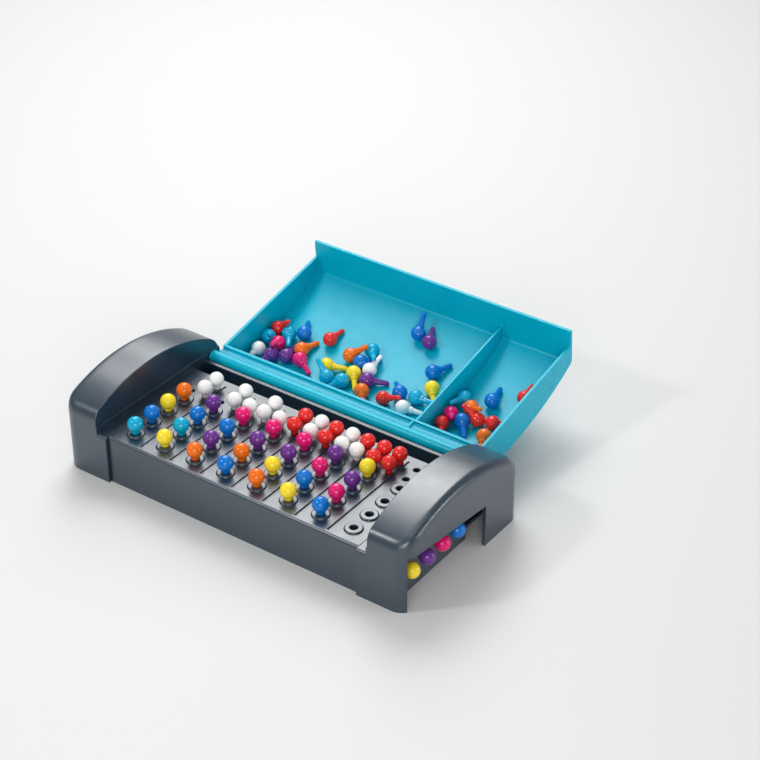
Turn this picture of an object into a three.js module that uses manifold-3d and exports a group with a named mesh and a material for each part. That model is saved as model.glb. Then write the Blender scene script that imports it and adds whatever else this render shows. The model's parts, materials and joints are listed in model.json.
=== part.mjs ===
// A travel code-breaking peg game. A dark tray holds eight rows of four code holes and four key
// holes between two crowned end housings. The right housing hoods a rack of four secret pegs.
// A long blue-green lid is hinged along the back and serves as the peg box when it lies open.
//
// X runs along the rows with the hood at the right, Y runs to the back and Z up, in millimetres.
// The origin is the middle of the underside.

import * as THREE from 'three';
import { mergeVertices } from 'three/addons/utils/BufferGeometryUtils.js';
import Module from 'manifold-3d';

const wasm = await Module();
wasm.setup();

// Overall sizes
const gameLength = 242.4;
const gameDepth = 111;
const deckHeight = 31.1;
const trayFrontRecess = 2;

// Walls and clearances
const wall = 2;
const seatGap = 0.3;
const runningGap = 0.4;
const overrun = 6;

// Rows of holes, set out from the front
const rowCount = 8;
const rowPitchShare = 0.12521;
const codeCount = 4;
const codePitch = 14.4;
const firstCodeInset = 13.7;
const keyRowGap = 9.9;
const keyPitch = 10.6;
const keyLeftShare = -0.1364;
const keyRightShare = 0.3409;
const collarRadius = 5.4;
const collarHeight = 1;
const grooveWidth = 1.3;
const grooveDepth = 0.9;
const grooveFrontMargin = 3.2;
const grooveBackMargin = 4.1;

// Back of the tray, where the lid is hinged
const deckEdgeRadius = 2;
const ledgeDepth = 12;
const ledgeDrop = 3.9;
const ribWidth = 3;
const trenchWidth = 9.5;
const trenchDepth = 14;
const hingeInset = 7.5;
const hingeRise = 0.3;
const barRadius = 3.7;
const pinRadius = 2.2;
const pinOverhang = 1.4;

// End housings
const crown = { peakY: -5, peakZ: 56.2, radius: 110, frontFillet: 9, backFillet: 14 };
const crownEdgeRadius = 5;
const crownFrontCorner = 10;
const crownBackCorner = 8;
const shelfWidth = 6.45;
const innerWall = 2.5;
const stepWidth = 0.5;
const stepHeight = 4;
const passageMargin = 3;

// Opening of the hood and the rack behind it
const pillarDepth = 3.7;
const openingLength = 72.1;
const openingFrontZ = 36;
const openingBackZ = 27.5;
const secretZ = 20.4;
const secretSetback = 1.6;
const pocketWidth = 1.6;
const rackHeadroom = 2;
const rackFloorGap = 0.5;
const rackFootReach = 8.3;
const rackFootGap = 1.9;
const rackRibWidth = 1.6;
const rackRibHeight = 21;

// Lid, measured closed
const lidWall = 2;
const lidDome = { peakY: 2, peakZ: 54.3, radius: 185, frontFillet: 4, backFillet: 3 };
const lidHeelReach = 10;
const skirtStandOff = 4;
const skirtDrop = 10.7;
const skirtLean = 2.4;
const dividerWall = 1.6;
const dividerRise = 2.4;
const webRise = 1.7;
const webWall = 2;
const stopRibWidth = 2;
const stopHeight = 12.2;
const stopHeel = 3;
const stopRibShares = [-0.743, -0.265, 0.265, 0.743];
const valleyRibHeight = 1.5;
const openAngle = THREE.MathUtils.degToRad(168.5);

// Bottom cover and screws
const coverThickness = 2.4;
const coverShyOfRack = 3.3;
const bossRadius = 3.5;
const bossHoleDepth = 9;
const screw = { headRadius: 2.5, headHeight: 0.9, shankRadius: 1.2, length: 9.8, tipHeight: 1.2 };
const screwSink = 1.4;
const frontScrewInset = 7.5;
const leftScrewInset = 12.3;
const rackScrewInset = 5.3;

// Pegs
const codePeg = { ball: 4.7, neck: 2.5, stem: 1.8, seatDrop: 5.3, reach: 13.6, tip: 1 };
const keyPeg = { neck: 2.1, stem: 1.6, seatDrop: 5.9, reach: 12.9, tip: 0.9 };
const keyBallShare = 0.428;

// Facets
const codeSides = 10;
const keySides = 8;
const bossSides = 12;
const barSides = 16;
const domeSteps = 14;
const filletSteps = 5;
const edgeSteps = 3;
const codeBallSteps = 5;
const keyBallSteps = 4;

// Places worked out from the sizes above
const outerX = gameLength / 2;
const halfDepth = gameDepth / 2;
const secretX = outerX - codePeg.ball - secretSetback;
const rackFaceX = secretX - codePeg.seatDrop - seatGap;
const rackBackX = rackFaceX - wall;
const rackFootX = rackBackX - rackFootReach;
const cavityX = rackFootX - rackFootGap;
const innerX = cavityX - innerWall;
const shelfX = innerX - shelfWidth;
const trayEndX = shelfX - seatGap;
const rowPitch = 2 * trayEndX * rowPitchShare;
const keyLeftX = rowPitch * keyLeftShare;
const keyRightX = rowPitch * keyRightShare;
const keyBall = (keyRightX - keyLeftX) * keyBallShare;
const trayFrontY = -halfDepth + trayFrontRecess;
const firstCodeY = -halfDepth + firstCodeInset;
const keyFrontY = codeY(codeCount - 1) + keyRowGap;
const keyBackY = keyFrontY + keyPitch;
const ribBackY = halfDepth - ledgeDepth;
const trenchBackY = ribBackY - ribWidth;
const deckBackY = trenchBackY - trenchWidth;
const trenchFloorZ = deckHeight - trenchDepth;
const ledgeZ = deckHeight - ledgeDrop;
const hingeY = halfDepth - hingeInset;
const hingeZ = deckHeight + hingeRise;
const stepZ = deckHeight + stepHeight;
const bossFootZ = coverThickness + seatGap;
const codeHoleRadius = codePeg.stem + seatGap;
const keyHoleRadius = keyPeg.stem + seatGap;
const codePegZ = deckHeight + collarHeight + seatGap + codePeg.seatDrop;
const keyPegZ = deckHeight + seatGap + keyPeg.seatDrop;
const rackFootTopZ = bossFootZ + wall;
const openingFrontY = -halfDepth + pillarDepth;
const openingBackY = openingFrontY + openingLength;
const lidHalfLength = innerX - runningGap;
const lidRimZ = hingeZ;
const lidHeelY = hingeY - lidHeelReach;
const lidFrontY = -halfDepth - skirtStandOff;
const webZ = hingeZ + webRise;

// The closed lid's divider stands midway between the key pegs of the sixth and seventh rows.
const dividerX = (rowX(5) + keyRightX + rowX(6) + keyLeftX) / 2;
const dividerFaces = [dividerX - dividerWall / 2, dividerX + dividerWall / 2];

// Screws stand in the tray and in each housing, the right one through the foot of the rack.
const screwPlaces = {
  tray_front_screw: [0, trayFrontY + frontScrewInset],
  tray_back_screw: [0, hingeY],
  left_housing_screw: [-outerX + leftScrewInset, 0],
  right_housing_screw: [rackBackX - rackScrewInset, codeY(1 / 2)],
};

const palette = {
  slate: 0x46545f,
  teal: 0x12a0b8,
  steel: 0x9aa0a4,
  cyan: 0x04a6d4,
  blue: 0x0870be,
  yellow: 0xf8da2d,
  orange: 0xee6c0c,
  purple: 0x5c3282,
  pink: 0xe11970,
  red: 0xe4322d,
  white: 0xf2f2f0,
};

// Code pegs of each row from front to back, from the left row on. The last row stands empty.
const codeRows = [
  ['cyan', 'blue', 'yellow', 'orange'],
  ['yellow', 'cyan', 'blue', 'purple'],
  ['orange', 'purple', 'blue', 'pink'],
  ['blue', 'orange', 'purple', 'pink'],
  ['orange', 'yellow', 'purple', 'pink'],
  ['yellow', 'blue', 'pink', 'purple'],
  ['blue', 'pink', 'purple', 'yellow'],
  [],
];
const secretColours = ['yellow', 'purple', 'pink', 'blue'];

// Key pegs as row letter, then each taken hole and its colour.
const keyRows = {
  c: { front_left: 'white', front_right: 'white', back_right: 'white' },
  d: { front_left: 'white', front_right: 'red', back_right: 'red' },
  e: { front_left: 'white', back_left: 'white', front_right: 'red', back_right: 'red' },
  f: { front_left: 'white', back_left: 'white', front_right: 'white', back_right: 'red' },
  g: { front_left: 'red', back_left: 'red', front_right: 'red', back_right: 'red' },
};
const keyHoles = {
  front_left: [keyLeftX, keyFrontY],
  back_left: [keyLeftX, keyBackY],
  front_right: [keyRightX, keyFrontY],
  back_right: [keyRightX, keyBackY],
};

const xAxis = new THREE.Vector3(1, 0, 0);
const yAxis = new THREE.Vector3(0, 1, 0);
const zAxis = new THREE.Vector3(0, 0, 1);

// Solids

function solidOf(geometry) {
  const bare = geometry.clone();
  bare.deleteAttribute('normal');
  bare.deleteAttribute('uv');
  const merged = mergeVertices(bare);
  const corners = merged.index.array;
  const kept = [];
  for (let i = 0; i < corners.length; i += 3) {
    const [a, b, c] = corners.slice(i, i + 3);
    if (a !== b && b !== c && c !== a) kept.push(a, b, c);
  }
  return new wasm.Manifold(new wasm.Mesh({
    numProp: 3,
    vertProperties: new Float32Array(merged.attributes.position.array),
    triVerts: new Uint32Array(kept),
  }));
}

function geometryOf(solid) {
  const { vertProperties, triVerts } = solid.getMesh();
  const geometry = new THREE.BufferGeometry();
  geometry.setAttribute('position', new THREE.BufferAttribute(vertProperties, 3));
  geometry.setIndex(new THREE.BufferAttribute(triVerts, 1));
  geometry.computeVertexNormals();
  return geometry;
}

function mirrored(geometry) {
  const flipped = geometry.clone();
  flipped.scale(-1, 1, 1);
  const corners = flipped.index.array;
  for (let i = 0; i < corners.length; i += 3) {
    [corners[i], corners[i + 1]] = [corners[i + 1], corners[i]];
  }
  flipped.computeVertexNormals();
  return flipped;
}

function join(solids) {
  return solids.reduce((whole, solid) => whole.add(solid));
}

function shapeOf(outline) {
  return new THREE.Shape(outline.map(([a, b]) => new THREE.Vector2(a, b)));
}

function block([fromX, toX], [fromY, toY], [fromZ, toZ]) {
  const geometry = new THREE.BoxGeometry(toX - fromX, toY - fromY, toZ - fromZ);
  geometry.translate((fromX + toX) / 2, (fromY + toY) / 2, (fromZ + toZ) / 2);
  return solidOf(geometry);
}

function prismZ(outline, fromZ, toZ) {
  const depth = toZ - fromZ;
  const geometry = new THREE.ExtrudeGeometry(shapeOf(outline), { depth, bevelEnabled: false });
  geometry.translate(0, 0, fromZ);
  return solidOf(geometry);
}

// An outline of Y and Z run along X. A bevel rounds the edges of both end faces.
function prismX(outline, fromX, toX, bevel = 0) {
  const geometry = new THREE.ExtrudeGeometry(shapeOf(outline), {
    depth: toX - fromX - 2 * bevel,
    bevelEnabled: bevel > 0,
    bevelThickness: bevel,
    bevelSize: bevel,
    bevelOffset: -bevel,
    bevelSegments: edgeSteps,
  });
  geometry.applyMatrix4(new THREE.Matrix4().makeBasis(yAxis, zAxis, xAxis));
  geometry.translate(fromX + bevel, 0, 0);
  return solidOf(geometry);
}

// An outline of X and Z run along Y.
function prismY(outline, fromY, toY) {
  const depth = toY - fromY;
  const geometry = new THREE.ExtrudeGeometry(shapeOf(outline), { depth, bevelEnabled: false });
  geometry.rotateX(Math.PI / 2);
  geometry.translate(0, toY, 0);
  return solidOf(geometry);
}

function postZ([x, y], radius, fromZ, toZ, sides) {
  const geometry = new THREE.CylinderGeometry(radius, radius, toZ - fromZ, sides);
  geometry.rotateX(Math.PI / 2);
  geometry.translate(x, y, (fromZ + toZ) / 2);
  return solidOf(geometry);
}

function postX([y, z], radius, fromX, toX, sides) {
  const geometry = new THREE.CylinderGeometry(radius, radius, toX - fromX, sides);
  geometry.rotateZ(Math.PI / 2);
  geometry.translate((fromX + toX) / 2, y, z);
  return solidOf(geometry);
}

// The flats of a faceted hole stand at its radius, so that a round stem keeps its clearance.
function holeRadius(radius, sides = codeSides) {
  return radius / Math.cos(Math.PI / sides);
}

// Outlines

function arc([a, b], radius, from, to, steps) {
  return Array.from({ length: steps + 1 }, (_, i) => {
    const angle = THREE.MathUtils.lerp(from, to, i / steps);
    return [a + radius * Math.cos(angle), b + radius * Math.sin(angle)];
  });
}

// A domed section of Y and Z: up from the front foot, over the crown and down to the back foot.
function domeOutline(dome, frontY, backY, inset, frontFootZ, backFootZ) {
  const front = frontY + inset;
  const back = backY - inset;
  const radius = dome.radius - inset;
  const centre = [dome.peakY, dome.peakZ - dome.radius];
  const corner = (y, fillet) => {
    const z = centre[1] + Math.sqrt((radius - fillet) ** 2 - (y - centre[0]) ** 2);
    return { place: [y, z], fillet, angle: Math.atan2(z - centre[1], y - centre[0]) };
  };
  const first = corner(front + dome.frontFillet - inset, dome.frontFillet - inset);
  const last = corner(back - dome.backFillet + inset, dome.backFillet - inset);
  return [
    [front, frontFootZ],
    ...arc(first.place, first.fillet, Math.PI, first.angle, filletSteps),
    ...arc(centre, radius, first.angle, last.angle, domeSteps).slice(1),
    ...arc(last.place, last.fillet, last.angle, 0, filletSteps).slice(1),
    [back, backFootZ],
  ];
}

// The deck's skin: its front wall, the pegs' deck, the trench, the rib and the ledge at the back.
function deckOutline(frontY) {
  const edge = [frontY + deckEdgeRadius, deckHeight - deckEdgeRadius];
  return [
    [frontY, 0],
    ...arc(edge, deckEdgeRadius, Math.PI, Math.PI / 2, edgeSteps),
    [deckBackY, deckHeight],
    [deckBackY, trenchFloorZ],
    [trenchBackY, trenchFloorZ],
    [trenchBackY, deckHeight],
    [ribBackY, deckHeight],
    [ribBackY, ledgeZ],
    [halfDepth, ledgeZ],
    [halfDepth, 0],
  ];
}

function deckHollow(frontY) {
  const front = frontY + wall;
  const back = halfDepth - wall;
  return [
    [front, -overrun],
    [front, deckHeight - wall],
    [deckBackY - wall, deckHeight - wall],
    [deckBackY - wall, trenchFloorZ - wall],
    [trenchBackY + wall, trenchFloorZ - wall],
    [trenchBackY + wall, ledgeZ - wall],
    [back, ledgeZ - wall],
    [back, -overrun],
  ];
}

function planOutline(fromX, inset) {
  const x = outerX - inset;
  const y = halfDepth - inset;
  const front = crownFrontCorner - inset;
  const back = crownBackCorner - inset;
  return [
    [fromX, -y],
    ...arc([x - front, -y + front], front, -Math.PI / 2, 0, filletSteps),
    ...arc([x - back, y - back], back, 0, Math.PI / 2, filletSteps),
    [fromX, y],
  ];
}

// Tray

function rowX(row) {
  return (row - (rowCount - 1) / 2) * rowPitch;
}

function codeY(place) {
  return firstCodeY + place * codePitch;
}

function screwBoss(place, footZ, topZ) {
  return postZ(place, bossRadius, footZ, topZ, bossSides);
}

function screwHole(place, footZ) {
  const radius = holeRadius(screw.shankRadius + seatGap);
  return postZ(place, radius, footZ - overrun, footZ + bossHoleDepth, codeSides);
}

function baseTray() {
  const { tray_front_screw: frontScrew, tray_back_screw: backScrew } = screwPlaces;
  const skin = prismX(deckOutline(trayFrontY), -trayEndX, trayEndX);
  const hollow = prismX(deckHollow(trayFrontY), -trayEndX - overrun, trayEndX + overrun);
  const rows = Array.from({ length: rowCount }, (_, row) => rowX(row));
  const codePlaces = rows.flatMap((x) => {
    return Array.from({ length: codeCount }, (_, place) => [x, codeY(place)]);
  });
  const keyPlaces = rows.flatMap((x) => Object.values(keyHoles).map(([dx, y]) => [x + dx, y]));
  const collars = codePlaces.map((place) => {
    return postZ(place, collarRadius, deckHeight - wall / 2, deckHeight + collarHeight, codeSides);
  });
  const hole = (radius, sides) => (place) => {
    const bottomZ = deckHeight - wall - overrun;
    return postZ(place, holeRadius(radius, sides), bottomZ, deckHeight + overrun, sides);
  };
  const grooves = rows.slice(1).map((x) => {
    const middle = x - rowPitch / 2;
    const across = [middle - grooveWidth / 2, middle + grooveWidth / 2];
    const along = [trayFrontY + grooveFrontMargin, keyBackY + grooveBackMargin];
    return block(across, along, [deckHeight - grooveDepth, deckHeight + overrun]);
  });
  const bosses = [
    screwBoss(frontScrew, bossFootZ, deckHeight - wall / 2),
    screwBoss(backScrew, bossFootZ, ledgeZ - wall / 2),
  ];
  return skin
    .subtract(hollow)
    .add(join([...collars, ...bosses]))
    .subtract(join(codePlaces.map(hole(codeHoleRadius, codeSides))))
    .subtract(join(keyPlaces.map(hole(keyHoleRadius, keySides))))
    .subtract(join(grooves))
    .subtract(join([screwHole(frontScrew, bossFootZ), screwHole(backScrew, bossFootZ)]));
}

// End housings

function crownBlock(fromX, inset) {
  const footZ = -crownEdgeRadius - overrun;
  const outline = domeOutline(crown, -halfDepth, halfDepth, inset, footZ, footZ);
  const edge = crownEdgeRadius - inset;
  const dome = prismX(outline, fromX - 2 * crownEdgeRadius, outerX - inset, edge);
  return dome.intersect(prismZ(planOutline(fromX, inset), -overrun, crown.peakZ + overrun));
}

// The right-hand housing as a shell open below. The lid's pin turns in its inner wall.
function endHousing(screwPlace, screwFootZ) {
  const aboveFloor = block([0, gameLength], [-gameDepth, gameDepth], [0, gameDepth]);
  const low = block([0, gameLength], [-gameDepth, gameDepth], [0, stepZ]);
  const footZ = -overrun;
  const side = domeOutline(crown, -halfDepth, halfDepth, 0, footZ, footZ);
  const lowBand = prismX(side, innerX, cavityX).intersect(low);
  const shelf = prismX(deckOutline(-halfDepth), shelfX, innerX + innerWall / 2);
  const underShelf = prismX(deckHollow(-halfDepth), shelfX - overrun, innerX);
  const boss = screwBoss(screwPlace, screwFootZ, crown.peakZ + overrun);
  const cavity = crownBlock(cavityX, wall).subtract(boss);
  const socketRadius = holeRadius(pinRadius + seatGap);
  const socket = postX([hingeY, hingeZ], socketRadius, innerX - overrun, cavityX + overrun, codeSides);
  const slotEndY = halfDepth - wall;
  const slotX = [shelfX - overrun, cavityX + overrun];
  const coverSlot = block(slotX, [-slotEndY, slotEndY], [-overrun, bossFootZ]);
  const passageY = [trayFrontY + wall + passageMargin, deckBackY - wall - passageMargin];
  const passage = block(slotX, passageY, [-overrun, deckHeight - wall - passageMargin]);
  return crownBlock(innerX + stepWidth, 0)
    .intersect(aboveFloor)
    .add(join([lowBand, shelf]))
    .subtract(join([cavity, underShelf, coverSlot, passage]))
    .subtract(join([socket, screwHole(screwPlace, screwFootZ)]));
}

function leftEndHousing() {
  const [x, y] = screwPlaces.left_housing_screw;
  return endHousing([-x, y], bossFootZ);
}

function rightHood() {
  const opening = prismX([
    [openingFrontY, -overrun],
    [openingFrontY, openingFrontZ],
    [openingBackY, openingBackZ],
    [openingBackY, -overrun],
  ], rackFaceX, outerX + overrun);
  return endHousing(screwPlaces.right_housing_screw, rackFootTopZ + seatGap).subtract(opening);
}

// A bracket that stands on the bottom cover behind the hood's opening.
function codeRack() {
  const frontY = -halfDepth + wall + seatGap;
  const backY = openingBackY - pocketWidth;
  const topZ = openingFrontZ + rackHeadroom;
  const face = block([rackBackX, rackFaceX], [frontY, backY], [rackFloorGap, topZ]);
  const foot = block([rackFootX, rackFaceX], [firstCodeY, backY], [bossFootZ, rackFootTopZ]);
  const ribs = [1, 2].map((gap) => {
    const middle = codeY(gap + 1 / 2);
    const outline = [
      [rackFootX, rackFootTopZ - wall / 2],
      [rackFaceX - wall / 2, rackFootTopZ - wall / 2],
      [rackFaceX - wall / 2, rackFootTopZ + rackRibHeight],
    ];
    return prismY(outline, middle - rackRibWidth / 2, middle + rackRibWidth / 2);
  });
  const holes = secretColours.map((_, i) => {
    const radius = holeRadius(codeHoleRadius);
    return postX([codeY(i), secretZ], radius, rackBackX - overrun, rackFaceX + overrun, codeSides);
  });
  return face
    .add(join([foot, ...ribs]))
    .subtract(join([...holes, screwHole(screwPlaces.right_housing_screw, rackFootTopZ)]));
}

// Lid

// Where a point of the open lid lies once the lid is closed.
function closedPlace(y, z) {
  const dy = y - hingeY;
  const dz = z - hingeZ;
  const cos = Math.cos(openAngle);
  const sin = Math.sin(openAngle);
  return [hingeY + dy * cos - dz * sin, hingeZ + dy * sin + dz * cos];
}

// Each rib bears on the tray's back wall when the lid lies open.
function stopRib(x) {
  const heelY = lidHeelY - lidWall / 2;
  const bearingY = halfDepth + seatGap;
  const highZ = ledgeZ + wall;
  const high = closedPlace(bearingY, highZ);
  const low = closedPlace(bearingY, highZ - stopHeight);
  const outline = [[heelY, webZ], [high[0], webZ], high, low, [heelY, low[1] + stopHeel]];
  return prismX(outline, x - stopRibWidth / 2, x + stopRibWidth / 2);
}

function lidSolid() {
  const skirtZ = lidRimZ - skirtDrop;
  const skirtY = lidFrontY - skirtLean;
  const [, ...shell] = domeOutline(lidDome, lidFrontY, lidHeelY, 0, skirtZ, lidRimZ);
  const [, ...lining] = domeOutline(lidDome, lidFrontY, lidHeelY, lidWall, skirtZ, lidRimZ - overrun);
  const skirtSlope = skirtLean / (shell[0][1] - skirtZ);
  const behindSkirt = [skirtY + lidWall, skirtZ];
  const behindRim = [skirtY + lidWall + skirtSlope * skirtDrop, lidRimZ];
  const outer = [[skirtY, skirtZ], ...shell, behindRim, behindSkirt];
  const inner = [behindSkirt, ...lining];
  const innerHalf = lidHalfLength - lidWall;
  const divider = block(dividerFaces, [lidFrontY, lidHeelY], [lidRimZ + dividerRise, lidDome.peakZ]);
  const hollow = prismX(inner, -innerHalf, innerHalf).subtract(divider);
  const bar = postX([hingeY, hingeZ], barRadius, -lidHalfLength, lidHalfLength, barSides);
  const pinEndX = cavityX + pinOverhang;
  const pins = postX([hingeY, hingeZ], pinRadius, -pinEndX, pinEndX, codeSides);
  const heelY = lidHeelY - lidWall / 2;
  const web = block([-lidHalfLength, lidHalfLength], [heelY, hingeY], [webZ, webZ + webWall]);
  const valleyY = hingeY - barRadius + wall / 2;
  const valleyRib = block(dividerFaces, [heelY, valleyY], [webZ - valleyRibHeight, webZ + webWall / 2]);
  const stopRibs = stopRibShares.map((share) => stopRib(share * lidHalfLength));
  return prismX(outer, -lidHalfLength, lidHalfLength)
    .subtract(hollow)
    .add(join([bar, pins, web, valleyRib, ...stopRibs]));
}

function lidGeometry() {
  const geometry = geometryOf(lidSolid());
  geometry.translate(0, -hingeY, -hingeZ);
  return geometry;
}

// Bottom cover and screws

function coverOutline() {
  const y = halfDepth - wall - seatGap;
  const x = outerX - wall - seatGap;
  const front = crownFrontCorner - wall - seatGap;
  const back = crownBackCorner - wall - seatGap;
  const trayY = y - trayFrontRecess;
  const stepX = shelfX + seatGap;
  const rightX = rackBackX - coverShyOfRack;
  return [
    ...arc([-x + front, -y + front], front, Math.PI, 1.5 * Math.PI, filletSteps),
    [-stepX, -y],
    [-stepX, -trayY],
    [stepX, -trayY],
    [stepX, -y],
    [rightX, -y],
    [rightX, y],
    ...arc([-x + back, y - back], back, Math.PI / 2, Math.PI, filletSteps),
  ];
}

function bottomCover() {
  const places = Object.values(screwPlaces);
  const headRadius = holeRadius(screw.headRadius + seatGap);
  const sinks = places.map((place) => postZ(place, headRadius, -overrun, screwSink, codeSides));
  const holes = places.map((place) => screwHole(place, coverThickness));
  return prismZ(coverOutline(), 0, coverThickness).subtract(join([...sinks, ...holes]));
}

function screwGeometry() {
  const headTop = screwSink - seatGap;
  const headBottom = headTop - screw.headHeight;
  const end = headTop + screw.length;
  const geometry = new THREE.LatheGeometry([
    new THREE.Vector2(0, headBottom),
    new THREE.Vector2(screw.headRadius, headBottom),
    new THREE.Vector2(screw.headRadius, headTop),
    new THREE.Vector2(screw.shankRadius, headTop),
    new THREE.Vector2(screw.shankRadius, end - screw.tipHeight),
    new THREE.Vector2(0, end),
  ], codeSides);
  geometry.rotateX(Math.PI / 2);
  return geometryOf(solidOf(geometry));
}

// Pegs

// A round-headed peg on its ball's centre, with its stem down and a neck that seats on the deck.
function pegGeometry(peg, sides, ballSteps) {
  const neckAngle = -Math.acos(peg.neck / peg.ball);
  const ball = arc([0, 0], peg.ball, neckAngle, Math.PI / 2, ballSteps).slice(0, -1);
  const outline = [
    [0, -peg.reach],
    [peg.stem, -peg.reach + peg.tip],
    [peg.stem, -peg.seatDrop],
    [peg.neck, -peg.seatDrop],
    ...ball,
    [0, peg.ball],
  ];
  const points = outline.map(([radius, z]) => new THREE.Vector2(radius, z));
  const geometry = new THREE.LatheGeometry(points, sides);
  geometry.rotateX(Math.PI / 2);
  return geometryOf(solidOf(geometry));
}

function codePegPiece(name, colour) {
  return piece(name, pegGeometry(codePeg, codeSides, codeBallSteps), colour);
}

function keyPegPiece(name, colour) {
  return piece(name, pegGeometry({ ball: keyBall, ...keyPeg }, keySides, keyBallSteps), colour);
}

// Assembly

const finishes = {
  slate: { roughness: 0.35, metalness: 0 },
  teal: { roughness: 0.3, metalness: 0 },
  steel: { roughness: 0.35, metalness: 1 },
};

function piece(name, geometry, colour) {
  const finish = finishes[colour] ?? { roughness: 0.2, metalness: 0 };
  const material = new THREE.MeshStandardMaterial({ color: palette[colour], ...finish });
  const mesh = new THREE.Mesh(geometry, material);
  mesh.name = name;
  return mesh;
}

const game = new THREE.Group();
game.add(piece('base_tray', geometryOf(baseTray()), 'slate'));
game.add(piece('left_end_housing', mirrored(geometryOf(leftEndHousing())), 'slate'));
game.add(piece('right_hood', geometryOf(rightHood()), 'slate'));
game.add(piece('code_rack', geometryOf(codeRack()), 'slate'));
game.add(piece('bottom_cover', geometryOf(bottomCover()), 'slate'));

const lid = piece('lid', lidGeometry(), 'teal');
lid.position.set(0, hingeY, hingeZ);
lid.rotation.x = -openAngle;
game.add(lid);

for (const [name, [x, y]] of Object.entries(screwPlaces)) {
  const mesh = piece(name, screwGeometry(), 'steel');
  mesh.position.set(x, y, 0);
  game.add(mesh);
}

const rowLetters = 'abcdefgh';
codeRows.forEach((colours, row) => {
  colours.forEach((colour, place) => {
    const mesh = codePegPiece(`code_peg_${rowLetters[row]}${place + 1}`, colour);
    mesh.position.set(rowX(row), codeY(place), codePegZ);
    game.add(mesh);
  });
});

secretColours.forEach((colour, place) => {
  const mesh = codePegPiece(`secret_peg_${place + 1}`, colour);
  mesh.rotation.y = Math.PI / 2;
  mesh.position.set(secretX, codeY(place), secretZ);
  game.add(mesh);
});

for (const [letter, holes] of Object.entries(keyRows)) {
  for (const [hole, colour] of Object.entries(holes)) {
    const [dx, y] = keyHoles[hole];
    const mesh = keyPegPiece(`key_peg_${letter}_${hole}`, colour);
    mesh.position.set(rowX(rowLetters.indexOf(letter)) + dx, y, keyPegZ);
    game.add(mesh);
  }
}

export default game;
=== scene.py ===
# A travel code-breaking peg game with its lid open as the peg box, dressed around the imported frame.

import json
import math
import random

import bmesh
import bpy
from mathutils import Matrix, Quaternion, Vector


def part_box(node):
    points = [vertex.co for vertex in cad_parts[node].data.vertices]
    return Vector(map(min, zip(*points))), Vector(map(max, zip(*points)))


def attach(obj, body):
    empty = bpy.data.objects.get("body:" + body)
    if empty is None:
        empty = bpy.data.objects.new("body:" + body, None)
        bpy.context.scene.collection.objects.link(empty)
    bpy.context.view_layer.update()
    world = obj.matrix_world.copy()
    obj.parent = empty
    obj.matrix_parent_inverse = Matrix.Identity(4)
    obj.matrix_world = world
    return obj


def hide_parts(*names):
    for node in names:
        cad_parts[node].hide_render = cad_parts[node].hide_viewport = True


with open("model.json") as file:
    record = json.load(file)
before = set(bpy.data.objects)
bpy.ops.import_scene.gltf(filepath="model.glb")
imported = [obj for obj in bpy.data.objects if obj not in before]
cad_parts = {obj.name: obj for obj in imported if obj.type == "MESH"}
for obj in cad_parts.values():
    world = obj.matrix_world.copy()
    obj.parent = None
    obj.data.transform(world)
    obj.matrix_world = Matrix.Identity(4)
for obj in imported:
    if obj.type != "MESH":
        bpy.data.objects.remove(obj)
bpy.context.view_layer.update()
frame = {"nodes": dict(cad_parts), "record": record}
scene = bpy.context.scene
rng = random.Random(7)

# Measures in millimetres, as in the part's source
MM = 0.001
HALF_LENGTH = 121.2
HALF_DEPTH = 55.5
DECK_Z = 31.1
WALL = 2.0
SEAT_GAP = 0.3
OVERRUN = 6.0
ROOT = 1.0

ROW_COUNT = 8
ROW_PITCH = 22.0
CODE_COUNT = 4
CODE_PITCH = 14.4
FIRST_CODE_Y = -41.8
KEY_LEFT_X, KEY_RIGHT_X = -3.0, 7.5
KEY_FRONT_Y, KEY_BACK_Y = 11.3, 21.9
HOLE_DEPTH = 8.0
COLLAR_RADIUS, COLLAR_HEIGHT, COLLAR_ROUND = 5.4, 1.0, 0.8
GROOVE_DEPTH = 0.9
GROOVE_FRONT_MARGIN, GROOVE_BACK_MARGIN = 3.2, 4.1

SHELF_X = 88.15
TRAY_END_X = SHELF_X - SEAT_GAP
SHELF_OVERLAP = 1.25
INNER_X = 94.6
CAVITY_X = 97.1
TRAY_FRONT_Y = WALL - HALF_DEPTH
DECK_BACK_Y = 31.0
TRENCH_BACK_Y = 40.5
RIB_BACK_Y = 43.5
TRENCH_FLOOR_Z = 17.1
LEDGE_Z = 27.2
STEP_WIDTH, STEP_Z = 0.5, 35.1
PASSAGE_Y, PASSAGE_TOP_Z = (-48.5, 26.0), 26.1

HINGE_Y, HINGE_Z = 48.0, 31.4
BAR_RADIUS, PIN_RADIUS = 3.7, 2.2
SOCKET_RADIUS = PIN_RADIUS + SEAT_GAP
PIN_END_X, PIN_EDGE = 98.5, 0.3
OPEN_ANGLE = math.radians(168.5)

CHEEK_TOP_ROUND, CHEEK_FRONT_ROUND, CHEEK_BACK_ROUND = 5.0, 10.0, 8.0
SHOULDER_ROUND = 0.7

COVER_THICKNESS = 2.4
COVER_END_X = 104.0
BOSS_RADIUS = 3.5
BOSS_FOOT_Z = COVER_THICKNESS + SEAT_GAP
RACK_FOOT_TOP_Z = BOSS_FOOT_Z + WALL
HOOD_BOSS_FOOT_Z = RACK_FOOT_TOP_Z + SEAT_GAP
HOUSING_BOSS_TOP_Z = 51.0
SCREW_HOLE_RADIUS, SCREW_HOLE_DEPTH = 1.5, 9.0
SCREW_PLACES = {
    "tray_front_screw": (0, -46.0), "tray_back_screw": (0, HINGE_Y),
    "left_housing_screw": (-108.9, 0), "right_housing_screw": (102.0, -34.6),
}

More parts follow.
